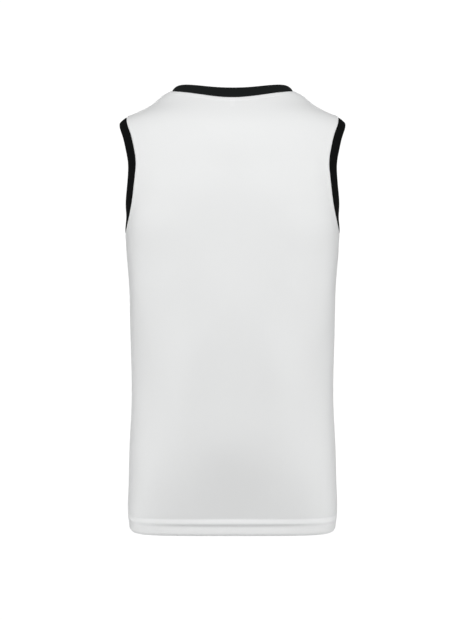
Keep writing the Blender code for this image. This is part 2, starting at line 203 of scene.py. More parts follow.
Section = namedtuple("Section", "height half_width back front back_power front_power")
SECTIONS = [
    Section(-0.7340, 0.1722, 0.1030, 0.1180, 3.15, 3.40),
    Section(-0.7100, 0.1752, 0.1074, 0.1192, 3.20, 3.34),
    Section(-0.6700, 0.1750, 0.1130, 0.1205, 3.15, 3.20),
    Section(-0.6000, 0.1732, 0.1192, 0.1220, 2.76, 2.95),
    Section(-0.5300, 0.1698, 0.1218, 0.1215, 2.48, 2.75),
    Section(-0.4600, 0.1702, 0.1180, 0.1200, 2.38, 2.55),
    Section(-0.3900, 0.1722, 0.1135, 0.1205, 2.44, 2.55),
    Section(-0.3200, 0.1744, 0.1145, 0.1235, 2.46, 2.70),
    Section(-0.2440, 0.1794, 0.1203, 0.1255, 2.62, 2.70),
    Section(-0.2100, 0.1787, 0.1208, 0.1250, 2.63, 2.55),
    Section(-0.1700, 0.1850, 0.1187, 0.1215, 2.40, 2.30),
    Section(-0.1300, 0.2008, 0.1126, 0.1150, 2.02, 2.10),
    Section(-0.1000, 0.2084, 0.1088, 0.1060, 1.87, 2.00),
    Section(-0.0750, 0.2073, 0.1030, 0.0940, 1.80, 2.00),
    Section(-0.0570, 0.1965, 0.0950, 0.0830, 1.85, 2.00),
    Section(-0.0440, 0.1778, 0.0863, 0.0725, 1.93, 2.00),
    Section(-0.0330, 0.1540, 0.0778, 0.0635, 2.00, 2.00),
    Section(-0.0220, 0.1346, 0.0690, 0.0550, 2.00, 2.00),
    Section(-0.0110, 0.1217, 0.0602, 0.0490, 2.00, 2.00),
    Section(-0.0050, 0.1130, 0.0555, 0.0465, 2.00, 2.00),
    Section(0.0000, 0.1015, 0.0520, 0.0440, 2.00, 2.00),
    Section(0.0120, 0.0700, 0.0480, 0.0380, 2.00, 2.00),
]

# Soft hollows (negative) and swells (positive): side, x and height of the middle, half sizes, rise,
# and the tilt of its long axis from upright, in degrees, towards the side seam at its top.
Fold = namedtuple("Fold", "side x height half_width half_height rise tilt")
SEAM_HOLD = 0.035  # the folds die away this near to the side and shoulder seams
FOLDS = [
    Fold(BACK, 0.000, -0.212, 0.057, 0.098, -0.0082, 0),  # between the shoulder blades
    Fold(BACK, 0.000, -0.735, 0.112, 0.102, -0.0155, 0),  # over the hem
    Fold(BACK, 0.172, -0.229, 0.060, 0.037, 0.0080, -5),  # behind the underarm
    Fold(BACK, 0.178, -0.336, 0.036, 0.052, 0.0100, 0),
    Fold(BACK, 0.140, -0.130, 0.110, 0.040, 0.0030, -32),  # shoulder blade
    Fold(BACK, 0.154, -0.494, 0.044, 0.148, -0.0083, 20),  # flank
    Fold(BACK, 0.000, -0.597, 0.063, 0.059, 0.0073, 0),
    Fold(BACK, 0.054, -0.416, 0.054, 0.099, 0.0083, -25),  # small of the back
    Fold(BACK, 0.090, -0.325, 0.055, 0.057, 0.0058, -45),
    Fold(BACK, 0.138, -0.455, 0.040, 0.070, -0.0040, 0),  # above the hip
    Fold(BACK, 0.178, -0.718, 0.030, 0.026, 0.0030, 0),  # corner of the hem
    Fold(FRONT, 0.070, -0.165, 0.062, 0.060, 0.0042, -20),  # breast
    Fold(FRONT, 0.000, -0.190, 0.030, 0.085, -0.0030, 0),
    Fold(FRONT, 0.000, -0.300, 0.085, 0.050, -0.0030, 0),
    Fold(FRONT, 0.000, -0.470, 0.090, 0.090, 0.0040, 0),  # belly
    Fold(FRONT, 0.000, -0.745, 0.080, 0.085, -0.0055, 0),
    Fold(FRONT, 0.150, -0.450, 0.034, 0.120, -0.0045, 3),
    Fold(FRONT, 0.118, -0.600, 0.042, 0.115, -0.0050, -2),
    Fold(FRONT, 0.150, -0.262, 0.034, 0.046, 0.0036, 32),
    Fold(FRONT, 0.120, -0.300, 0.018, 0.070, -0.0018, 38),  # drag line from the underarm
    Fold(FRONT, 0.062, -0.560, 0.028, 0.080, 0.0018, 12),
]


def smooth(t):
    """A soft step from 0 to 1 while t goes from 0 to 1."""
    t = np.clip(t, 0, 1)
    return t * t * (3 - 2 * t)


def bell(away, reach):
    """1 at no distance, dying away with it."""
    return np.exp(-((away / reach) ** 2))


def unit(vectors):
    return vectors / np.linalg.norm(vectors, axis=-1, keepdims=True)


def run_length(points):
    """Distance along a run of points, at each of them."""
    return np.concatenate([[0], np.cumsum(np.linalg.norm(np.diff(points, axis=0), axis=1))])


def read_run(at, length, points):
    """Points, or other values in columns, at these distances along a run."""
    return np.stack([np.interp(at, length, column) for column in points.T], axis=-1)


def spline_slopes(at, values):
    """Slopes at the knots of the natural cubic spline through (at, values)."""
    step = np.diff(at)
    secant = np.diff(values, axis=0) / step[:, None]
    count = len(at)
    left = np.zeros((count, count))
    right = np.zeros((count, values.shape[1]))
    left[0, :2] = 2, 1
    left[-1, -2:] = 1, 2
    right[0], right[-1] = 3 * secant[0], 3 * secant[-1]
    for k in range(1, count - 1):
        left[k, k - 1] = step[k]
        left[k, k] = 2 * (step[k - 1] + step[k])
        left[k, k + 1] = step[k - 1]
        right[k] = 3 * (secant[k - 1] * step[k] + secant[k] * step[k - 1])
    return np.linalg.solve(left, right)


TABLE = np.array(SECTIONS)
KNOTS, SHAPES = TABLE[:, 0], TABLE[:, 1:]
SLOPES = spline_slopes(KNOTS, SHAPES)


def section_at(height):
    """Half width, the two depths and the two powers of the section at each height."""
    k = np.clip(np.searchsorted(KNOTS, height) - 1, 0, len(KNOTS) - 2)
    step = KNOTS[k + 1] - KNOTS[k]
    t = ((height - KNOTS[k]) / step)[..., None]
    rise = step[..., None]
    return (
        (1 + 2 * t) * (1 - t) ** 2 * SHAPES[k]
        + t * (1 - t) ** 2 * rise * SLOPES[k]
        + t * t * (3 - 2 * t) * SHAPES[k + 1]
        + t * t * (t - 1) * rise * SLOPES[k + 1]
    )


def half_section(height, side):
    """Half width, depth and power of the section's half on that side."""
    shape = section_at(height)
    depth, power = (1, 3) if side == BACK else (2, 4)
    return shape[..., 0], shape[..., depth], shape[..., power]


def drape(x, away, height, side):
    """How far the cloth stands out from the plain figure, which it doesn't at the side seams."""
    total = np.zeros_like(x)
    for fold in FOLDS:
        if fold.side != side:
            continue
        for hand in (1, -1) if fold.x else (1,):
            lean = math.radians(fold.tilt)
            dx, dz = x * hand - fold.x, height - fold.height
            across = (dx * math.cos(lean) - dz * math.sin(lean)) / fold.half_width
            along = (dx * math.sin(lean) + dz * math.cos(lean)) / fold.half_height
            total += fold.rise * np.exp(-(across**2) - along**2)
    return total * (1 - bell(away, SEAM_HOLD))


def section_radius(angle, height, side):
    """Distance from the upright axis to the section at an angle, before it is draped."""
    half_width, depth, power = half_section(height, side)
    across, away = np.abs(np.sin(angle)) / half_width, np.abs(np.cos(angle)) / depth
    return (across**power + away**power) ** (-1 / power)


def sag(away, height):
    """How much lower the cloth hangs than its own height, near the hem behind and in front."""
    low = bell(height + BODY_LENGTH, SAG_REACH)
    return HEM_SAG * low * (1 - bell(away, SAG_CORNER))


def figure(angle, height, side):
    """Points of the outer surface at these angles and heights."""
    radius = section_radius(angle, height, side)
    x, away = radius * np.sin(angle), radius * np.cos(angle)
    y = side * (away + drape(x, away, height, side))
    return np.stack([x, y, height - sag(away, height)], axis=-1)


def figure_normal(angle, height, side):
    """Outward normals of the outer surface."""
    round_it = figure(angle + TINY, height, side) - figure(angle - TINY, height, side)
    up_it = figure(angle, height + TINY, side) - figure(angle, height - TINY, side)
    return unit(np.cross(up_it, round_it) * side)


def neck_height(angle, side):
    """Height of the neck seam at an angle. Behind, it dips from the shoulders. In front, it is an
    ellipse when seen from above, and its height is found by halving."""
    if side == BACK:
        return -BACK_NECK_DROP * np.abs(np.cos(angle)) ** BACK_NECK_POWER
    half_width = half_section(np.array(0.0), side)[0]
    depth = half_section(np.array(-FRONT_NECK_DROP), side)[1]
    radius = np.hypot(np.sin(angle) / half_width, np.cos(angle) / depth) ** -1.0
    low, high = np.full(np.shape(angle), -1.2 * FRONT_NECK_DROP), np.zeros(np.shape(angle))
    for _ in range(40):
        height = (low + high) / 2
        wide = section_radius(angle, height, side) > radius
        low, high = np.where(wide, height, low), np.where(wide, high, height)
    return (low + high) / 2


def neck_lean(angle):
    """How far the neck band leans in from upright: most at the shoulders, least at the back."""
    return NECK_LEAN + NECK_LEAN_MORE * np.sin(angle) ** 2


def armhole_seam(turn, side):
    """(angle, height) of the armhole seam; turn is 0 at the underarm and pi at the shoulder."""
    middle = -(UNDERARM_DROP + SHOULDER_DROP) / 2
    half = (UNDERARM_DROP - SHOULDER_DROP) / 2
    reach = BACK_ARMHOLE_DEPTH if side == BACK else FRONT_ARMHOLE_DEPTH
    height = middle - half * np.cos(turn)
    behind = reach * np.abs(np.sin(turn)) ** ARMHOLE_POWER
    half_width, depth, power = half_section(height, side)
    x = half_width * (1 - (behind / depth) ** power) ** (1 / power)
    return np.arctan2(x, behind), height


def side_line(height):
    """The angle of a panel's edge beside the side seam or shoulder seam."""
    return RIGHT_ANGLE - SEAM_GAP / 2 / section_at(height)[..., 0]


HEM_HEIGHTS = np.array(HEM_ROWS) - BODY_LENGTH
HEM_ROW = len(HEM_ROWS) - 1
UNDERARM_ROW = HEM_ROW + BODY_ROWS
TIP_ROW = UNDERARM_ROW + ARMHOLE_ROWS
NECK_ROW = TIP_ROW + SHOULDER_ROWS


def edge_at(row, side):
    """(angle, height) of a panel's side edge at places counted in coarse rows: hem, side seam,
    armhole and shoulder seam."""
    known = [*range(HEM_ROW + 1), UNDERARM_ROW, TIP_ROW, NECK_ROW]
    heights = [*HEM_HEIGHTS, -UNDERARM_DROP, -SHOULDER_DROP, 0]
    height = np.interp(row, known, heights)
    turn = np.clip((row - UNDERARM_ROW) / ARMHOLE_ROWS, 0, 1) * math.pi
    hole_angle, hole_height = armhole_seam(turn, side)
    on_hole = (row > UNDERARM_ROW) & (row < TIP_ROW)
    return np.where(on_hole, hole_angle, side_line(height)), np.where(on_hole, hole_height, height)


def spread(grid):
    """A grid of points in the plane, spread evenly between its own edges without folding over:
    each inner point goes where the grid's inverse is a harmonic map (Winslow's smoothing)."""
    for _ in range(SPREADING):
        left, right = grid[:, 1:-1, :-2], grid[:, 1:-1, 2:]
        below, above = grid[:, :-2, 1:-1], grid[:, 2:, 1:-1]
        across, along = (right - left) / 2, (above - below) / 2
        a = np.sum(along * along, axis=0)
        b = np.sum(across * along, axis=0)
        c = np.sum(across * across, axis=0)
        twist = grid[:, 2:, 2:] - grid[:, 2:, :-2] - grid[:, :-2, 2:] + grid[:, :-2, :-2]
        moved = a * (left + right) + c * (below + above) - b * twist / 2
        grid[:, 1:-1, 1:-1] = moved / (2 * (a + c))
    return grid


def coarse_grid(side):
    """(angle, height) of a panel's coarse points, stacked."""
    share = np.linspace(-1, 1, 2 * HALF_COLUMNS + 1)
    edge_angle, edge_height = edge_at(np.arange(NECK_ROW + 1.0), side)
    edge_angle, edge_height = edge_angle[:, None], edge_height[:, None]
    angles = edge_angle * share
    rise = np.clip(1 - edge_height / HEM_HEIGHTS[-1], 0, 1) ** 2
    dip = neck_height(angles, side) - neck_height(edge_angle, side)
    heights = edge_height + rise * dip
    heights[-1] = neck_height(share * RIGHT_ANGLE, side)
    flat = np.stack([angles * UNROLLING, heights])
    flat[:, HEM_ROW:] = spread(flat[:, HEM_ROW:])
    flat[0] /= UNROLLING
    return flat


def read_grid(values, row, column):
    """Values between a grid's points, at places counted in its rows and columns."""
    r = np.clip(row.astype(int), 0, values.shape[-2] - 2)
    c = np.clip(column.astype(int), 0, values.shape[-1] - 2)
    up, over = row - r, column - c
    low = values[..., r, c] * (1 - over) + values[..., r, c + 1] * over
    high = values[..., r + 1, c] * (1 - over) + values[..., r + 1, c + 1] * over
    return low * (1 - up) + high * up


def split(first, rows, parts):
    """Places that split each of some coarse rows into equal parts, but for the first place."""
    return first + np.arange(1, parts * rows + 1) / parts


def fine_rows():
    """Places of the fine rows, counted in coarse rows: close together round the hem's fold, its
    stitching and the neck seam."""
    hem = split(1, HEM_ROW - 1, BODY_SPLIT)
    above_hem = HEM_ROW + np.array(ABOVE_HEM_PLACES)
    body = split(HEM_ROW + 1, BODY_ROWS - 1, BODY_SPLIT)
    armhole = split(UNDERARM_ROW, ARMHOLE_ROWS, ARMHOLE_SPLIT)
    shoulder = split(TIP_ROW, SHOULDER_ROWS - 1, ARMHOLE_SPLIT)
    neck = NECK_ROW - (1 - split(0, 1, NECK_SPLIT)) ** 1.5
    return np.concatenate([FOLD_PLACES, hem, above_hem, body, armhole, shoulder, neck])


def fine_grid(side):
    """(angles, heights) of a panel's fine points, exactly on its edges."""
    coarse = coarse_grid(side)
    run = np.linspace(-1, 1, FINE_COLUMNS + 1)
    share = (1 - EDGE_CROWDING) * run + EDGE_CROWDING * np.sin(run * RIGHT_ANGLE)
    row, share = np.meshgrid(fine_rows(), share, indexing="ij")
    column = (share + 1) * HALF_COLUMNS
    grid = read_grid(coarse, row, column)
    edge = np.stack(edge_at(row[:, 0], side))
    miss = edge - read_grid(coarse, row[:, 0], np.full(len(row), 2.0 * HALF_COLUMNS))
    near = np.clip(1 - (1 - np.abs(share)) * HALF_COLUMNS, 0, 1)
    grid[0] += miss[0][:, None] * near * np.sign(share)
    grid[1] += miss[1][:, None] * near
    top = share[-1] * RIGHT_ANGLE
    near_top = np.clip(row - (NECK_ROW - 1), 0, 1)
    grid[0] += (top - grid[0][-1]) * near_top
    grid[1] += (neck_height(top, side) - grid[1][-1]) * near_top
    return grid[0], grid[1]


def hem_rise(angle, height, side):
    """How far the turned-up hem stands out from the figure."""
    radius = section_radius(angle, height, side)
    inwards = half_section(height, side)[0] - radius * np.abs(np.sin(angle))
    beside = np.hypot(inwards, radius * np.cos(angle))
    total = np.zeros_like(beside)
    for step in HEM_STEPS:
        grown = smooth((beside - step.start) / (step.whole - step.start))
        down = smooth((step.top - height - BODY_LENGTH) / step.height)
        total += step.out * (step.share + (1 - step.share) * grown) * down
    return total


class Seam:
    """A seam as a dense run of points, which tells how far away and how far along a place is, and
    where on the cloth the places beside it are."""

    def __init__(self, angle, height, side):
        self.side = side
        self.points = figure(angle, height, side)
        ahead = unit(np.gradient(self.points, axis=0))
        into = unit(np.cross(figure_normal(angle, height, side), ahead))
        middle = figure(np.array(0.0), np.array(-0.35), side)
        self.into = into * np.sign(np.sum(into * (middle - self.points)))
        self.length = run_length(self.points)
        self.tree = KDTree(len(self.points))
        for k, point in enumerate(self.points):
            self.tree.insert(point, k)
        self.tree.balance()

    def near(self, places):
        """(distance to the seam, distance along it) of each place."""
        flat = places.reshape(-1, 3)
        found = [self.tree.find(place)[1:] for place in flat]
        index = np.array([k for k, _ in found])
        away = np.array([distance for _, distance in found])
        return away.reshape(places.shape[:-1]), self.length[index].reshape(places.shape[:-1])

    def beside(self, along, away):
        """(angle, height) of the places this far along the seam and this far into the panel."""
        on_seam = read_run(along, self.length, self.points)
        into = read_run(along, self.length, self.into)
        x, y, z = (on_seam + np.reshape(away, (-1, 1)) * into).T
        plain = self.side * y
        for _ in range(3):  # undoes the drape, closer each time
            plain = self.side * y - drape(x, plain, z, self.side)
        return np.arctan2(x, plain), z + sag(plain, z)


def seams_of(side):
    """The seams of a panel and the raw edge of its hem. Those at its sides are the left ones."""
    across = np.linspace(-RIGHT_ANGLE, RIGHT_ANGLE, 900)
    turn = np.linspace(0, math.pi, 900)
    body = np.linspace(-BODY_LENGTH, -UNDERARM_DROP, 700)
    shoulder = np.linspace(-SHOULDER_DROP, 0, 300)
    return {
        "neck": Seam(across, neck_height(across, side), side),
        "armhole": Seam(*armhole_seam(turn, side), side),
        "side": Seam(side_line(body), body, side),
        "shoulder": Seam(side_line(shoulder), shoulder, side),
        "hem": Seam(across, np.full(900, HEM_DEPTH - BODY_LENGTH), side),
    }


SEAMS = {side: seams_of(side) for side in (BACK, FRONT)}


def near_seams(base, side):
    """(distance away, distance along) of each of a panel's seams, but for the hem, at its points."""
    folded = np.concatenate([np.abs(base[..., :1]), base[..., 1:]], axis=-1)
    seams = SEAMS[side]
    near = {name: seams[name].near(folded) for name in ("armhole", "side", "shoulder")}
    return {"neck": seams["neck"].near(base), **near}


def puckers(name, away, along):
    """Offset of the small wrinkles along a seam. Slower waves make their spacing and depth uneven."""
    kind = PUCKERS[name]
    chance = np.random.default_rng(kind.seed)
    phase = chance.uniform(0, 2 * math.pi, 4)
    place = 2 * math.pi * along / kind.pitch
    shift = 1.4 * np.sin(place / 5.3 + phase[0]) + 0.9 * np.sin(place / 11.7 + phase[1])
    strength = 0.55 + 0.45 * np.sin(place / 7.9 + phase[2]) * np.sin(place / 3.1 + phase[3])
    return kind.rise * (np.sin(place + shift) * strength * bell(away, kind.reach))


def slackness(x, height, side):
    """Slow unevenness of cloth that hangs free, between about -1 and 1."""
    chance = np.random.default_rng(5 + side)
    total = np.zeros_like(x)
    for _ in range(SLACK_WAVES):
        direction = chance.uniform(0, math.pi)
        wave = chance.uniform(*SLACK_LENGTHS)
        phase = chance.uniform(0, 2 * math.pi)
        across = x * math.cos(direction) + height * math.sin(direction)
        total += np.sin(2 * math.pi * across / wave + phase)
    return total / 4


def hem_stitching(up, along, side_away):
    """Offset that the hem's stitching makes in its outer face; up is the height above its edge."""
    grooves = HEM_GROOVE * sum(bell(up - row, GROOVE_REACH) for row in HEM_STITCH_ROWS)
    share = HEM_SIDE_SHARE + (1 - HEM_SIDE_SHARE) * smooth(side_away / HEM_SIDE_REACH)
    middle = sum(HEM_STITCH_ROWS) / 2
    return puckers("hem", np.abs(up - middle), along) - grooves * share


def shown_allowances(near, up, side):
    """Offset of the outer face over the seam allowances that lie behind it. Those of the side and
    shoulder seams are turned behind, and the neck's shows only there."""
    shows = smooth((ALLOWANCE - near["armhole"][0]) / ARM_SHOW_STEP)
    if side == BACK:
        over_hem = smooth((up - ABOVE_HEM) / 0.01)
        shows += smooth((NECK_STITCH_DROP - near["neck"][0]) / NECK_SHOW_STEP)
        shows += smooth((SIDE_SHOWS - near["side"][0]) / SIDE_SHOW_STEP) * over_hem
        shows += smooth((SIDE_SHOWS - near["shoulder"][0]) / SIDE_SHOW_STEP)
    return ALLOWANCE_RISE * shows


def relief(base, height, side, near):
    """Offset of the cloth's outer face, made by its sewing and its own slackness."""
    neck_away, arm_away, side_away = (near[name][0] for name in ("neck", "armhole", "side"))
    up = height + BODY_LENGTH
    free = smooth(arm_away / SLACK_FROM_BAND) * smooth(neck_away / SLACK_FROM_BAND)
    free *= smooth(side_away / SLACK_FROM_SIDE) * smooth((up - ABOVE_HEM) / SLACK_FROM_HEM)
    out = SLACK * slackness(base[..., 0], height, side) * free
    out += hem_stitching(up, base[..., 0] + side * HEM_SHIFT, side_away)
    out += shown_allowances(near, up, side)
    for away, _ in near.values():
        out -= SEAM_DIP * bell(away, SEAM_DIP_REACH)
    out += ARM_LIP * bell(arm_away, ARM_LIP_REACH) * smooth((height - ARM_LIP_START) / 0.04)
    if side == BACK:
        out -= NECK_GROOVE * bell(neck_away - NECK_STITCH_DROP, GROOVE_REACH)
    for name in ("armhole", "neck", "side"):
        out += puckers(name, *near[name])
    return out


def wall(height, side, near):
    """Thickness of the cloth, with the turned-up hem and the seam allowances that lie on its inside.
    Those of the side and shoulder seams are turned behind."""
    edge = HEM_DEPTH - BODY_LENGTH
    thick = KNIT + (HEM_KNIT - KNIT) * smooth((edge - height) / 0.0012)
    beside_band = np.minimum(near["armhole"][0], near["neck"][0])
    bulk = smooth((ALLOWANCE - beside_band) / ALLOWANCE_STEP)
    if side == BACK:
        beside_seam = np.minimum(near["side"][0], near["shoulder"][0])
        turned = smooth((SIDE_ALLOWANCE - beside_seam) / ALLOWANCE_STEP)
        bulk = np.maximum(bulk, turned * smooth((height - edge) / 0.003))
    return thick + ALLOWANCE_BULK * bulk


def fold_round(height):
    """How far each face draws in where the hem's fold rounds over."""
    radius = HEM_KNIT / 2
    left = np.clip(1 - (height + BODY_LENGTH) / radius, 0, 0.995)  # leaves a narrow edge
    return radius * (1 - np.sqrt(1 - left**2))


def cloth_faces(angle, height, side):
    """Points on the outer and the inner face of the cloth, and the outward normals there."""
    base, normals = figure(angle, height, side), figure_normal(angle, height, side)
    near = near_seams(base, side)
    rise, fold = hem_rise(angle, height, side), fold_round(height)
    outer = rise + relief(base, height, side, near) - fold
    inner = rise - wall(height, side, near) + fold
    return base + normals * outer[..., None], base + normals * inner[..., None], normals


def arc_grids(side):
    """Tables of cloth length round the body from the centre line, and up from the hem."""
    columns = np.linspace(0, RIGHT_ANGLE, ARC_COLUMNS + 1)
    rows = np.linspace(-BODY_LENGTH, 0.0, ARC_ROWS + 1)
    points = figure(*np.meshgrid(columns, rows), side)
    steps = np.linalg.norm(np.diff(points, axis=1), axis=-1)
    round_it = np.concatenate([np.zeros((len(rows), 1)), np.cumsum(steps, axis=1)], axis=1)
    steps = np.linalg.norm(np.diff(points, axis=0), axis=-1)
    up_it = np.concatenate([np.zeros((1, len(columns))), np.cumsum(steps, axis=0)], axis=0)
    return np.stack([round_it, up_it])


def cloth_uv(angle, height, side):
    """Texture coordinates in metres of cloth: round the body and up from the hem."""
    row = (height + BODY_LENGTH) / BODY_LENGTH * ARC_ROWS
    column = np.abs(angle) / RIGHT_ANGLE * ARC_COLUMNS
    u, v = read_grid(arc_grids(side), row, column)
    return np.stack([u * np.sign(angle), v], axis=-1)


def make_object(name, verts, faces, uv):
    """A smooth-shaded object from point, face and texture-coordinate arrays, one uv to a point."""
    mesh = bpy.data.meshes.new(name)
    mesh.from_pydata(verts.tolist(), [], faces.tolist())
    layer = mesh.uv_layers.new(name="cloth")
    corner = np.empty(len(mesh.loops), dtype=np.int32)
    mesh.loops.foreach_get("vertex_index", corner)
    layer.data.foreach_set("uv", uv[corner].astype(np.float32).ravel())
    mesh.shade_smooth()
    mesh.validate()
    obj = bpy.data.objects.new(name, mesh)
    bpy.context.scene.collection.objects.link(obj)
    return obj


def grid_faces(rows, columns, closed=False, looped=False):
    """Corner numbers of the quads of a grid of points; closed joins its last column to its first,
    and looped its last row to its first."""
    index = np.arange(rows * columns).reshape(rows, columns)
    if looped:
        index = np.concatenate([index, index[:1]], axis=0)
    if closed:
        index = np.concatenate([index, index[:, :1]], axis=1)
    low, high = index[:-1], index[1:]
    quads = np.stack([low[:, :-1], low[:, 1:], high[:, 1:], high[:, :-1]], axis=-1)
    return quads.reshape(-1, 4)


def shell(name, outer, inner, uv, side):
    """An object with an outer face, an inner face and a rim between their edges."""
    rows, columns = outer.shape[:2]
    count = rows * columns
    outside = grid_faces(rows, columns)
    inside = outside[:, ::-1] + count
    index = np.arange(count).reshape(rows, columns)
    rim = np.concatenate([index[0], index[1:, -1], index[-1, -2::-1], index[-2::-1, 0]])
    rims = np.stack([rim[1:], rim[:-1], rim[:-1] + count, rim[1:] + count], axis=-1)
    faces = np.concatenate([outside, inside, rims])
    if side == BACK:
        faces = faces[:, ::-1]
    verts = np.concatenate([outer.reshape(-1, 3), inner.reshape(-1, 3)])
    return make_object(name, verts, faces, np.concatenate([uv.reshape(-1, 2)] * 2))


def panel(name, side):
    """A body panel as a thin shell with its sewing pressed into it."""
    angles, heights = fine_grid(side)
    outer, inner, _ = cloth_faces(angles, heights, side)
    return shell(name, outer, inner, cloth_uv(angles, heights, side), side)


def rib_places(points):
    """Evenly spaced places round a closed run of dense points, as fractions of its point numbers:
    RIB_POINTS to a rib, in whole ribs."""
    closed = np.concatenate([points, points[:1]])
    length = run_length(closed)
    count = round(length[-1] / (RIB_PITCH / RIB_POINTS))
    even = np.arange(count) * length[-1] / count
    places = np.interp(even, length, np.arange(len(closed)))
    return places[: count // RIB_POINTS * RIB_POINTS]


def band_section(width, bulge):
    """(along, out) of the points round a folded rib band, along from its seam to its fold, and how
    much of the rib relief each one takes outwards and along."""
    soft = RIB / 2
    flat = np.linspace(0, width - soft, BAND_POINTS)
    arch = bulge * np.sin(math.pi * flat / width) ** 0.8
    turn = np.linspace(RIGHT_ANGLE, -RIGHT_ANGLE, 7)[1:-1]
    along = np.concatenate([flat, width - soft + soft * np.cos(turn), flat[::-1]])
    fold_out = arch[-1] - soft + soft * np.sin(turn)
    out = np.concatenate([arch - SEAM_DIP * bell(flat, 0.0012), fold_out, arch[::-1] - RIB])
    ribbed = smooth(along / 0.002)
    ones, none = np.ones(BAND_POINTS), np.zeros(BAND_POINTS)
    ribs_out = ribbed * np.concatenate([ones, np.sin(turn), -ones])
    ribs_along = ribbed * np.concatenate([none, np.cos(turn), none])
    return along, out, ribs_out, ribs_along


def band(name, seam, toward, width, bulge):
    """A folded rib band sewn round a closed seam of evenly spaced points. Its ends are joined at the
    first one."""
    ahead = unit(np.roll(seam, -1, axis=0) - np.roll(seam, 1, axis=0))
    inward = unit(toward - ahead * np.sum(toward * ahead, axis=-1, keepdims=True))
    out = np.cross(ahead, inward)
    count = len(seam)
    section = np.stack([np.stack(band_section(width, rise)) for rise in bulge])
    wave = 0.5 - 0.5 * np.cos(2 * math.pi * np.arange(count) / RIB_POINTS)
    step = np.linalg.norm(seam - np.roll(seam, 1, axis=0), axis=1).mean()
    from_join = np.minimum(np.arange(count), count - np.arange(count)) * step
    groove = (RIB_RELIEF * wave**1.5 + JOIN_DIP * bell(from_join, JOIN_REACH))[:, None]
    along = section[:, 0] - groove * section[:, 3]
    away = section[:, 1] - groove * section[:, 2]
    points = seam[:, None] + inward[:, None] * along[..., None] + out[:, None] * away[..., None]
    around = points.shape[1]
    run = np.linspace(0, 1, around)[None] * 2 * width
    uv = np.stack(np.broadcast_arrays(np.arange(count)[:, None] * step, run), axis=-1)
    faces = grid_faces(count, around, closed=True, looped=True)
    return make_object(name, points.reshape(-1, 3), faces, uv.reshape(-1, 2))


def seam_frame(points, normals):
    """The way that the cloth runs on across a closed seam."""
    ahead = unit(np.roll(points, -1, axis=0) - np.roll(points, 1, axis=0))
    return unit(np.cross(normals, ahead))


def both_sides(function, angle, height, on_back):
    """A figure function over points that lie partly behind and partly in front."""
    behind = function(angle, height, BACK)
    before = function(angle, height, FRONT)
    return np.where(on_back[:, None], behind, before)


def seam_loop(at, going, half):
    """Evenly spaced points of a closed seam: (place on it, whether that is behind, angle, points,
    normals). The function at gives (angle, height) of places, going lists dense places up to the
    first one again, and the first half of them lie behind."""
    on_back = np.arange(len(going) - 1) < half
    dense = both_sides(figure, *at(going[:-1], on_back), on_back)
    number = rib_places(dense)
    place = np.interp(number, np.arange(len(going)), going)
    on_back = number < half
    angle, height = at(place, on_back)
    points = both_sides(figure, angle, height, on_back)
    return place, on_back, angle, points, both_sides(figure_normal, angle, height, on_back)


def neck_at(angle, on_back):
    """(angle, height) of places on the neck seam."""
    return angle, np.where(on_back, neck_height(angle, BACK), neck_height(angle, FRONT))


def armhole_at(turn, on_back):
    """(angle, height) of places on the armhole seam."""
    back, front = armhole_seam(turn, BACK), armhole_seam(turn, FRONT)
    return np.where(on_back, back[0], front[0]), back[1]


def neck_band():
    """The rib band round the neck."""
    dense = np.linspace(RIGHT_ANGLE, -RIGHT_ANGLE, HALF_LOOP + 1)[:-1]
    going = np.concatenate([dense, -dense, [RIGHT_ANGLE]])
    _, on_back, angle, seam, normals = seam_loop(neck_at, going, HALF_LOOP)
    flat = seam_frame(seam, normals)
    lean = neck_lean(angle)[:, None]
    centre = unit(seam * [-1, -1, 0])
    standing = np.cos(lean) * [0, 0, 1] + np.sin(lean) * centre
    beside = np.sin(angle) ** 4
    upright = np.where(on_back, 1, beside)[:, None]
    toward = upright * standing + (1 - upright) * flat
    bulge = NECK_BULGE + (SHOULDER_BULGE - NECK_BULGE) * beside
    return band("neck_rib", seam, toward, NECK_BAND_WIDTH, bulge)


def arm_band(name, hand):
    """The rib band round an armhole, on the wearer's left (hand 1) or right (hand -1)."""
    dense = np.linspace(0, math.pi, HALF_LOOP + 1)[:-1]
    going = np.concatenate([dense, math.pi - dense, [0]])
    turn, _, _, seam, normals = seam_loop(armhole_at, going, HALF_LOOP)
    flare = sum(f.amount * bell(turn - f.turn, f.spread) for f in FLARES)
    toward = seam_frame(seam, normals) + normals * flare[:, None]
    obj = band(name, seam, toward, ARM_BAND_WIDTH, np.full(len(seam), ARM_BULGE))
    if hand < 0:
        obj.data.transform(Matrix.Scale(-1, 4, (1, 0, 0)))
        obj.data.flip_normals()
    return obj


def stitch_run(points, normals, pitch):
    """Vertices and faces of the stitches along a run of dense points on the cloth."""
    length = run_length(points)
    count = int(length[-1] / pitch)
    start = (np.arange(count) + STITCH_START) * length[-1] / count
    at = start[:, None] + np.array(STITCH_PLACES) * pitch * STITCH_SHARE
    centre = read_run(at, length, points)
    out = unit(read_run(at, length, normals))
    beside = unit(np.cross(unit(centre[:, -1:] - centre[:, :1]), out))
    rise = np.array(STITCH_RISE)[:, None] * THREAD
    thick = np.array(STITCH_THICKNESS)[:, None, None] * THREAD
    spin = np.arange(6) * math.pi / 3
    ring = beside[:, :, None] * np.cos(spin)[:, None] + out[:, :, None] * np.sin(spin)[:, None]
    verts = (centre + out * rise)[:, :, None] + ring * thick
    one = grid_faces(len(STITCH_PLACES), len(spin), closed=True)
    first = np.arange(count) * len(STITCH_PLACES) * len(spin)
    return verts.reshape(-1, 3), (one + first[:, None, None]).reshape(-1, 4)


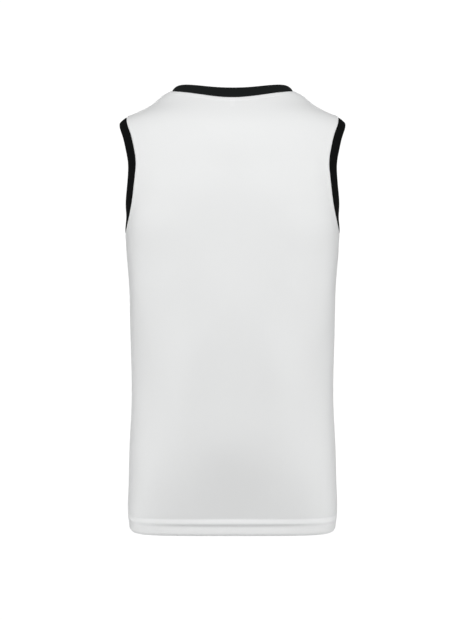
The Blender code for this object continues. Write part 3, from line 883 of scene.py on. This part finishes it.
def thread_tube(centre, out, radius):
    """Vertices and faces of a thread along a run of points."""
    ahead = unit(np.gradient(centre, axis=0))
    beside = unit(np.cross(ahead, out))
    above = np.cross(beside, ahead)
    spin = np.arange(5) * 2 * math.pi / 5
    ring = beside[:, None] * np.cos(spin)[:, None] + above[:, None] * np.sin(spin)[:, None]
    verts = centre[:, None] + ring * radius
    return verts.reshape(-1, 3), grid_faces(len(centre), len(spin), closed=True)


def thread_object(name, threads):
    """One object that holds several threads, each given as its vertices and faces."""
    parts, faces, first = [], [], 0
    for verts, quads in threads:
        parts.append(verts)
        faces.append(quads + first)
        first += len(verts)
    verts = np.concatenate(parts)
    uv = np.stack([verts[:, 0] + verts[:, 1], verts[:, 2]], axis=-1)
    return make_object(name, verts, np.concatenate(faces), uv)


def hem_stitches():
    """Both needle rows of the hem, all round."""
    angle = np.linspace(-RIGHT_ANGLE, RIGHT_ANGLE, 700)
    threads = []
    for up in HEM_STITCH_ROWS:
        for side in (BACK, FRONT):
            height = np.full(len(angle), up - BODY_LENGTH)
            outer, _, normals = cloth_faces(angle, height, side)
            threads.append(stitch_run(outer, normals, HEM_STITCH))
    return thread_object("hem_thread", threads)


def neck_stitches():
    """The row of stitches under the back neck seam."""
    seam = SEAMS[BACK]["neck"]
    along = np.linspace(NECK_STITCH_MARGIN, seam.length[-1] - NECK_STITCH_MARGIN, 400)
    outer, _, normals = cloth_faces(*seam.beside(along, NECK_STITCH_DROP), BACK)
    return thread_object("neck_thread", [stitch_run(outer, normals, NECK_STITCH)])


def overlock(side, name, edge):
    """The two threads over a raw edge that lies this far beside a seam: the looper's runs to and fro
    between the needle's row and the edge, and the needle's is a line of stitches."""
    seam = SEAMS[side][name]
    start = HEM_DEPTH if name == "side" else 0.0
    count = int((seam.length[-1] - start) / OVERLOCK_PITCH)
    number = np.arange(OVERLOCK_POINTS * count + 1)
    along = start + number * OVERLOCK_PITCH / OVERLOCK_POINTS
    swing = np.abs((number * 2 / OVERLOCK_POINTS) % 2 - 1)
    _, inner, normals = cloth_faces(*seam.beside(along, edge - OVERLOCK * swing), side)
    looper = thread_tube(inner - normals * OVERLOCK_LIFT, -normals, OVERLOCK_THREAD)
    _, inner, normals = cloth_faces(*seam.beside(along, edge - OVERLOCK), side)
    return looper, stitch_run(inner, -normals, OVERLOCK_PITCH)


def overlocking():
    """The threads over the raw edges inside, all in one object."""
    beside_bands = {"armhole": ALLOWANCE, "neck": ALLOWANCE, "hem": 0}
    behind = {"side": SIDE_ALLOWANCE, "shoulder": SIDE_ALLOWANCE, **beside_bands}
    threads = []
    for side, edges in ((BACK, behind), (FRONT, beside_bands)):
        for name, edge in edges.items():
            for verts, quads in overlock(side, name, edge):
                threads.append((verts, quads))
                if name not in ("neck", "hem"):
                    threads.append((verts * [-1, 1, 1], quads[:, ::-1]))
    return thread_object("overlock_thread", threads)


def neck_tab():
    """The small blank tape sewn in behind the neck, on the inside."""
    rows, columns = 14, 7
    drops = BACK_NECK_DROP + TAB_DROP + np.linspace(TAB_LENGTH + 0.0006, 0, rows)
    across = np.linspace(-1, 1, columns) * TAB_WIDTH / 2
    across, heights = np.meshgrid(across, -drops)
    angles = np.arctan2(across, half_section(heights, BACK)[1])
    _, inside, normals = cloth_faces(angles, heights, BACK)
    outer = inside - normals * TAB_LIFT
    inner = outer - normals * TAB
    return shell("neck_tape", outer, inner, np.stack([across, heights], axis=-1), BACK)


KNIT_WALE, KNIT_COURSE, RIB_COURSE = 0.0009, 0.0007, 0.0011
HEM_EDGE_SHOWS = (HEM_DEPTH + 0.0011, HEM_DEPTH - 0.0014)  # where the hem's doubling comes to show

# Linear colours, the darker first: low in the knit, and high on it. In the knits, the threads and the
# tape
# # the darker colour is painted shade in the low places of their relief; the floor's two differ at
# random.
WHITE_KNIT_WITH_PAINTED_SHADE = [(0.752, 0.758, 0.757, 1), (0.806, 0.812, 0.811, 1)]
WHITE_CLOUD = (0.710, 0.717, 0.716, 1)
WHITE_DOUBLED = (0.93, 0.936, 0.935, 1)
WHITE_TAB = (0.86, 0.86, 0.86, 1)
WHITE_THREAD_WITH_PAINTED_SHADE = [(0.70, 0.71, 0.72, 1), (0.82, 0.82, 0.83, 1)]
WHITE_TAPE_WITH_PAINTED_SHADE = [(0.80, 0.80, 0.80, 1), (0.88, 0.88, 0.88, 1)]
NECK_BLACK_WITH_PAINTED_SHADE = [(0.005, 0.006, 0.0058, 1), (0.010, 0.012, 0.0115, 1)]
ARM_BLACK_WITH_PAINTED_SHADE = [(0.0022, 0.0025, 0.0025, 1), (0.0045, 0.005, 0.005, 1)]
PALE_FLOOR = [(0.86, 0.86, 0.86, 1), (0.9, 0.9, 0.9, 1)]


class Nodes:
    """A material's node tree, with short ways to add nodes to it."""

    def __init__(self, name):
        self.material = bpy.data.materials.new(name)
        self.material.use_nodes = True
        self.tree = self.material.node_tree
        self.shader = self.tree.nodes["Principled BSDF"]

    def add(self, kind, inputs=None, **settings):
        """A node with these settings, whose named inputs get values or links."""
        node = self.tree.nodes.new("ShaderNode" + kind)
        for key, value in settings.items():
            setattr(node, key, value)
        for key, value in (inputs or {}).items():
            self.feed(node.inputs[key], value)
        return node

    def feed(self, socket, value):
        if isinstance(value, (int, float, tuple)):
            socket.default_value = value
        else:
            self.tree.links.new(value, socket)

    def object_place(self):
        return self.add("TexCoord").outputs["Object"]

    def cloth_place(self):
        return self.add("UVMap", uv_map="cloth").outputs["UV"]

    def axes(self, vector):
        return self.add("SeparateXYZ", {0: vector}).outputs

    def math(self, operation, *values):
        return self.add("Math", dict(enumerate(values)), operation=operation).outputs[0]

    def mix(self, factor, low, high):
        inputs = {"Factor": factor, "A": low, "B": high}
        return self.add("Mix", inputs, data_type="RGBA").outputs["Result"]

    def noise(self, vector, scale):
        inputs = {"Vector": vector, "Scale": scale, "Detail": 3.0}
        return self.add("TexNoise", inputs).outputs["Fac"]

    def wave(self, direction, vector, scale):
        inputs = {"Vector": vector, "Scale": scale}
        return self.add("TexWave", inputs, bands_direction=direction).outputs["Fac"]

    def step(self, value, start, end):
        """A soft step from 0 to 1 while a value goes from start to end."""
        inputs = {"Value": value, "From Min": start, "From Max": end}
        return self.add("MapRange", inputs, interpolation_type="SMOOTHSTEP").outputs["Result"]

    def bump(self, height, distance, strength):
        inputs = {"Height": height, "Distance": distance, "Strength": strength}
        self.feed(self.shader.inputs["Normal"], self.add("Bump", inputs).outputs["Normal"])

    def finish(self, colour, roughness, specular, sheen, sheen_roughness):
        self.feed(self.shader.inputs["Base Color"], colour)
        self.feed(self.shader.inputs["Roughness"], roughness)
        self.feed(self.shader.inputs["Specular IOR Level"], specular)
        self.feed(self.shader.inputs["Sheen Weight"], sheen)
        self.feed(self.shader.inputs["Sheen Roughness"], sheen_roughness)
        return self.material


def knit_height(nodes, uv, wale, course):
    """Height of a plain knit face, 0 to 1, from uv in metres: rows of little v shapes."""
    place = nodes.axes(uv)
    across = nodes.math("FRACT", nodes.math("MULTIPLY", place["X"], 1 / wale))
    across = nodes.math("SUBTRACT", across, 0.5)
    slant = nodes.math("MULTIPLY", nodes.math("ABSOLUTE", across), 1.3)
    up = nodes.math("ADD", nodes.math("MULTIPLY", place["Y"], 1 / course), slant)
    loop = nodes.math("COSINE", nodes.math("MULTIPLY", up, 2 * math.pi))
    loop = nodes.math("MULTIPLY_ADD", loop, 0.28, 0.72)
    leg = nodes.math("SINE", nodes.math("MULTIPLY", across, 2 * math.pi))
    leg = nodes.math("POWER", nodes.math("ABSOLUTE", leg), 0.6)
    return nodes.math("MULTIPLY", loop, leg)


def jersey_material(name, tab):
    """White interlock knit, with painted shade where the knit lies low, whiter where the hem doubles
    it.
    With tab, the tape inside the neck shows through faintly."""
    nodes = Nodes(name)
    uv, place = nodes.cloth_place(), nodes.object_place()
    height = knit_height(nodes, uv, KNIT_WALE, KNIT_COURSE)
    # painted shade: the low places of the knit get the darker white
    colour = nodes.mix(height, *WHITE_KNIT_WITH_PAINTED_SHADE)
    cloudy = nodes.math("MULTIPLY", nodes.noise(place, 9.0), 0.10)
    colour = nodes.mix(cloudy, colour, WHITE_CLOUD)
    doubled = nodes.math("MULTIPLY", nodes.step(nodes.axes(uv)["Y"], *HEM_EDGE_SHOWS), 0.22)
    colour = nodes.mix(doubled, colour, WHITE_DOUBLED)
    if tab:
        axes = nodes.axes(place)
        beside = nodes.math("SUBTRACT", TAB_WIDTH / 2, nodes.math("ABSOLUTE", axes["X"]))
        above = nodes.math("ADD", axes["Z"], BACK_NECK_DROP + TAB_LENGTH)
        inside = nodes.step(nodes.math("MINIMUM", beside, above), -0.0006, 0.0006)
        colour = nodes.mix(nodes.math("MULTIPLY", inside, 0.2), colour, WHITE_TAB)
    rough = nodes.math("MULTIPLY_ADD", nodes.noise(uv, 900.0), 0.16, 0.56)
    nodes.bump(height, 0.00012, 0.5)
    return nodes.finish(colour, rough, 0.25, 0.15, 0.45)


def rib_material(name, colours, specular, sheen):
    """Black rib knit, with painted shade where the knit lies low."""
    nodes = Nodes(name)
    uv = nodes.cloth_place()
    height = knit_height(nodes, uv, RIB_PITCH, RIB_COURSE)
    rough = nodes.math("MULTIPLY_ADD", nodes.noise(uv, 1200.0), 0.15, 0.72)
    nodes.bump(height, 0.00015, 0.6)
    # painted shade: the low places of the rib get the darker black
    return nodes.finish(nodes.mix(height, *colours), rough, specular, sheen, 0.5)


def thread_material():
    """White sewing thread with a fine twist, with painted shade in the twist's hollows."""
    nodes = Nodes("thread")
    twist = nodes.wave("DIAGONAL", nodes.object_place(), 900.0)
    nodes.bump(twist, 0.00005, 0.5)
    # painted shade: the hollows of the twist get the darker white
    return nodes.finish(nodes.mix(twist, *WHITE_THREAD_WITH_PAINTED_SHADE), 0.45, 0.4, 0.1, 0.4)


def tape_material():
    """Smooth woven tape, with painted shade where the weave lies low."""
    nodes = Nodes("tape")
    uv = nodes.cloth_place()
    woven = nodes.math("MULTIPLY", nodes.wave("X", uv, 700.0), nodes.wave("Y", uv, 700.0))
    nodes.bump(woven, 0.00008, 0.5)
    # painted shade: the low places of the weave get the darker white
    return nodes.finish(nodes.mix(woven, *WHITE_TAPE_WITH_PAINTED_SHADE), 0.4, 0.4, 0.1, 0.4)


def dress(obj, material, node):
    """Gives a piece its look and its body, and hides the imported part of the node it stands for."""
    obj.data.materials.append(material)
    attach(obj, "root")
    if node:
        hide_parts(node)
    return obj


def softbox(name, place, target, power):
    """A square area light that looks at a target."""
    light = bpy.data.lights.new(name, "AREA")
    light.shape = "SQUARE"
    light.size = SOFTBOX_SIZE
    light.energy = power
    obj = bpy.data.objects.new(name, light)
    bpy.context.scene.collection.objects.link(obj)
    away = np.subtract(place, target)
    flat = math.hypot(away[0], away[1])
    obj.location = place
    obj.rotation_euler = (math.atan2(flat, away[2]), 0, math.atan2(away[0], -away[1]))


def studio():
    """White surroundings and soft lights."""
    scene = bpy.context.scene
    scene.view_settings.view_transform = "Standard"
    world = bpy.data.worlds.new("studio")
    world.use_nodes = True
    tree = world.node_tree
    seen, lit = tree.nodes["Background"], tree.nodes.new("ShaderNodeBackground")
    seen.inputs["Color"].default_value = (1, 1, 1, 1)
    seen.inputs["Strength"].default_value = BACKDROP
    lit.inputs["Color"].default_value = (0.985, 0.995, 1, 1)
    lit.inputs["Strength"].default_value = AMBIENT
    path, mix = tree.nodes.new("ShaderNodeLightPath"), tree.nodes.new("ShaderNodeMixShader")
    tree.links.new(path.outputs["Is Camera Ray"], mix.inputs["Fac"])
    tree.links.new(lit.outputs[0], mix.inputs[1])
    tree.links.new(seen.outputs[0], mix.inputs[2])
    tree.links.new(mix.outputs[0], tree.nodes["World Output"].inputs["Surface"])
    scene.world = world
    for light in LIGHTS:
        softbox(*light)


def floor():
    """A round pale floor well below the hem."""
    nodes = Nodes("floor")
    colour = nodes.mix(nodes.noise(nodes.object_place(), 3.0), *PALE_FLOOR)
    material = nodes.finish(colour, 0.9, 0.1, 0.0, 0.5)
    bpy.ops.mesh.primitive_circle_add(vertices=96, radius=FLOOR_RADIUS, fill_type="NGON")
    disc = bpy.context.object
    disc.location.z = FLOOR_HEIGHT
    disc.name = "floor"
    disc.data.materials.append(material)


def camera():
    """Level, straight behind the jersey, at the photo's framing."""
    data = bpy.data.cameras.new("camera")
    data.lens = LENS
    data.sensor_width = SENSOR
    obj = bpy.data.objects.new("camera", data)
    obj.location = CAMERA_PLACE
    obj.rotation_euler = (RIGHT_ANGLE, 0, math.pi)
    bpy.context.scene.collection.objects.link(obj)
    bpy.context.scene.camera = obj


def main():
    camera()
    knit_back = jersey_material("jersey_knit_back", True)
    knit_front = jersey_material("jersey_knit_front", False)
    back = dress(panel("back_cloth", BACK), knit_back, "back_panel")
    front = dress(panel("front_cloth", FRONT), knit_front, "front_panel")
    neck_rib = rib_material("neck_rib", NECK_BLACK_WITH_PAINTED_SHADE, 0.08, 0.03)
    arm_rib = rib_material("arm_rib", ARM_BLACK_WITH_PAINTED_SHADE, 0.05, 0.02)
    neck = dress(neck_band(), neck_rib, "neck_band")
    left = dress(arm_band("left_arm_rib", 1), arm_rib, "left_arm_band")
    right = dress(arm_band("right_arm_rib", -1), arm_rib, "right_arm_band")
    tab = dress(neck_tab(), tape_material(), "neck_tab")
    thread = thread_material()
    hem_thread = dress(hem_stitches(), thread, None)
    neck_thread = dress(neck_stitches(), thread, None)
    inside_thread = dress(overlocking(), thread, None)
    studio()
    floor()


main()
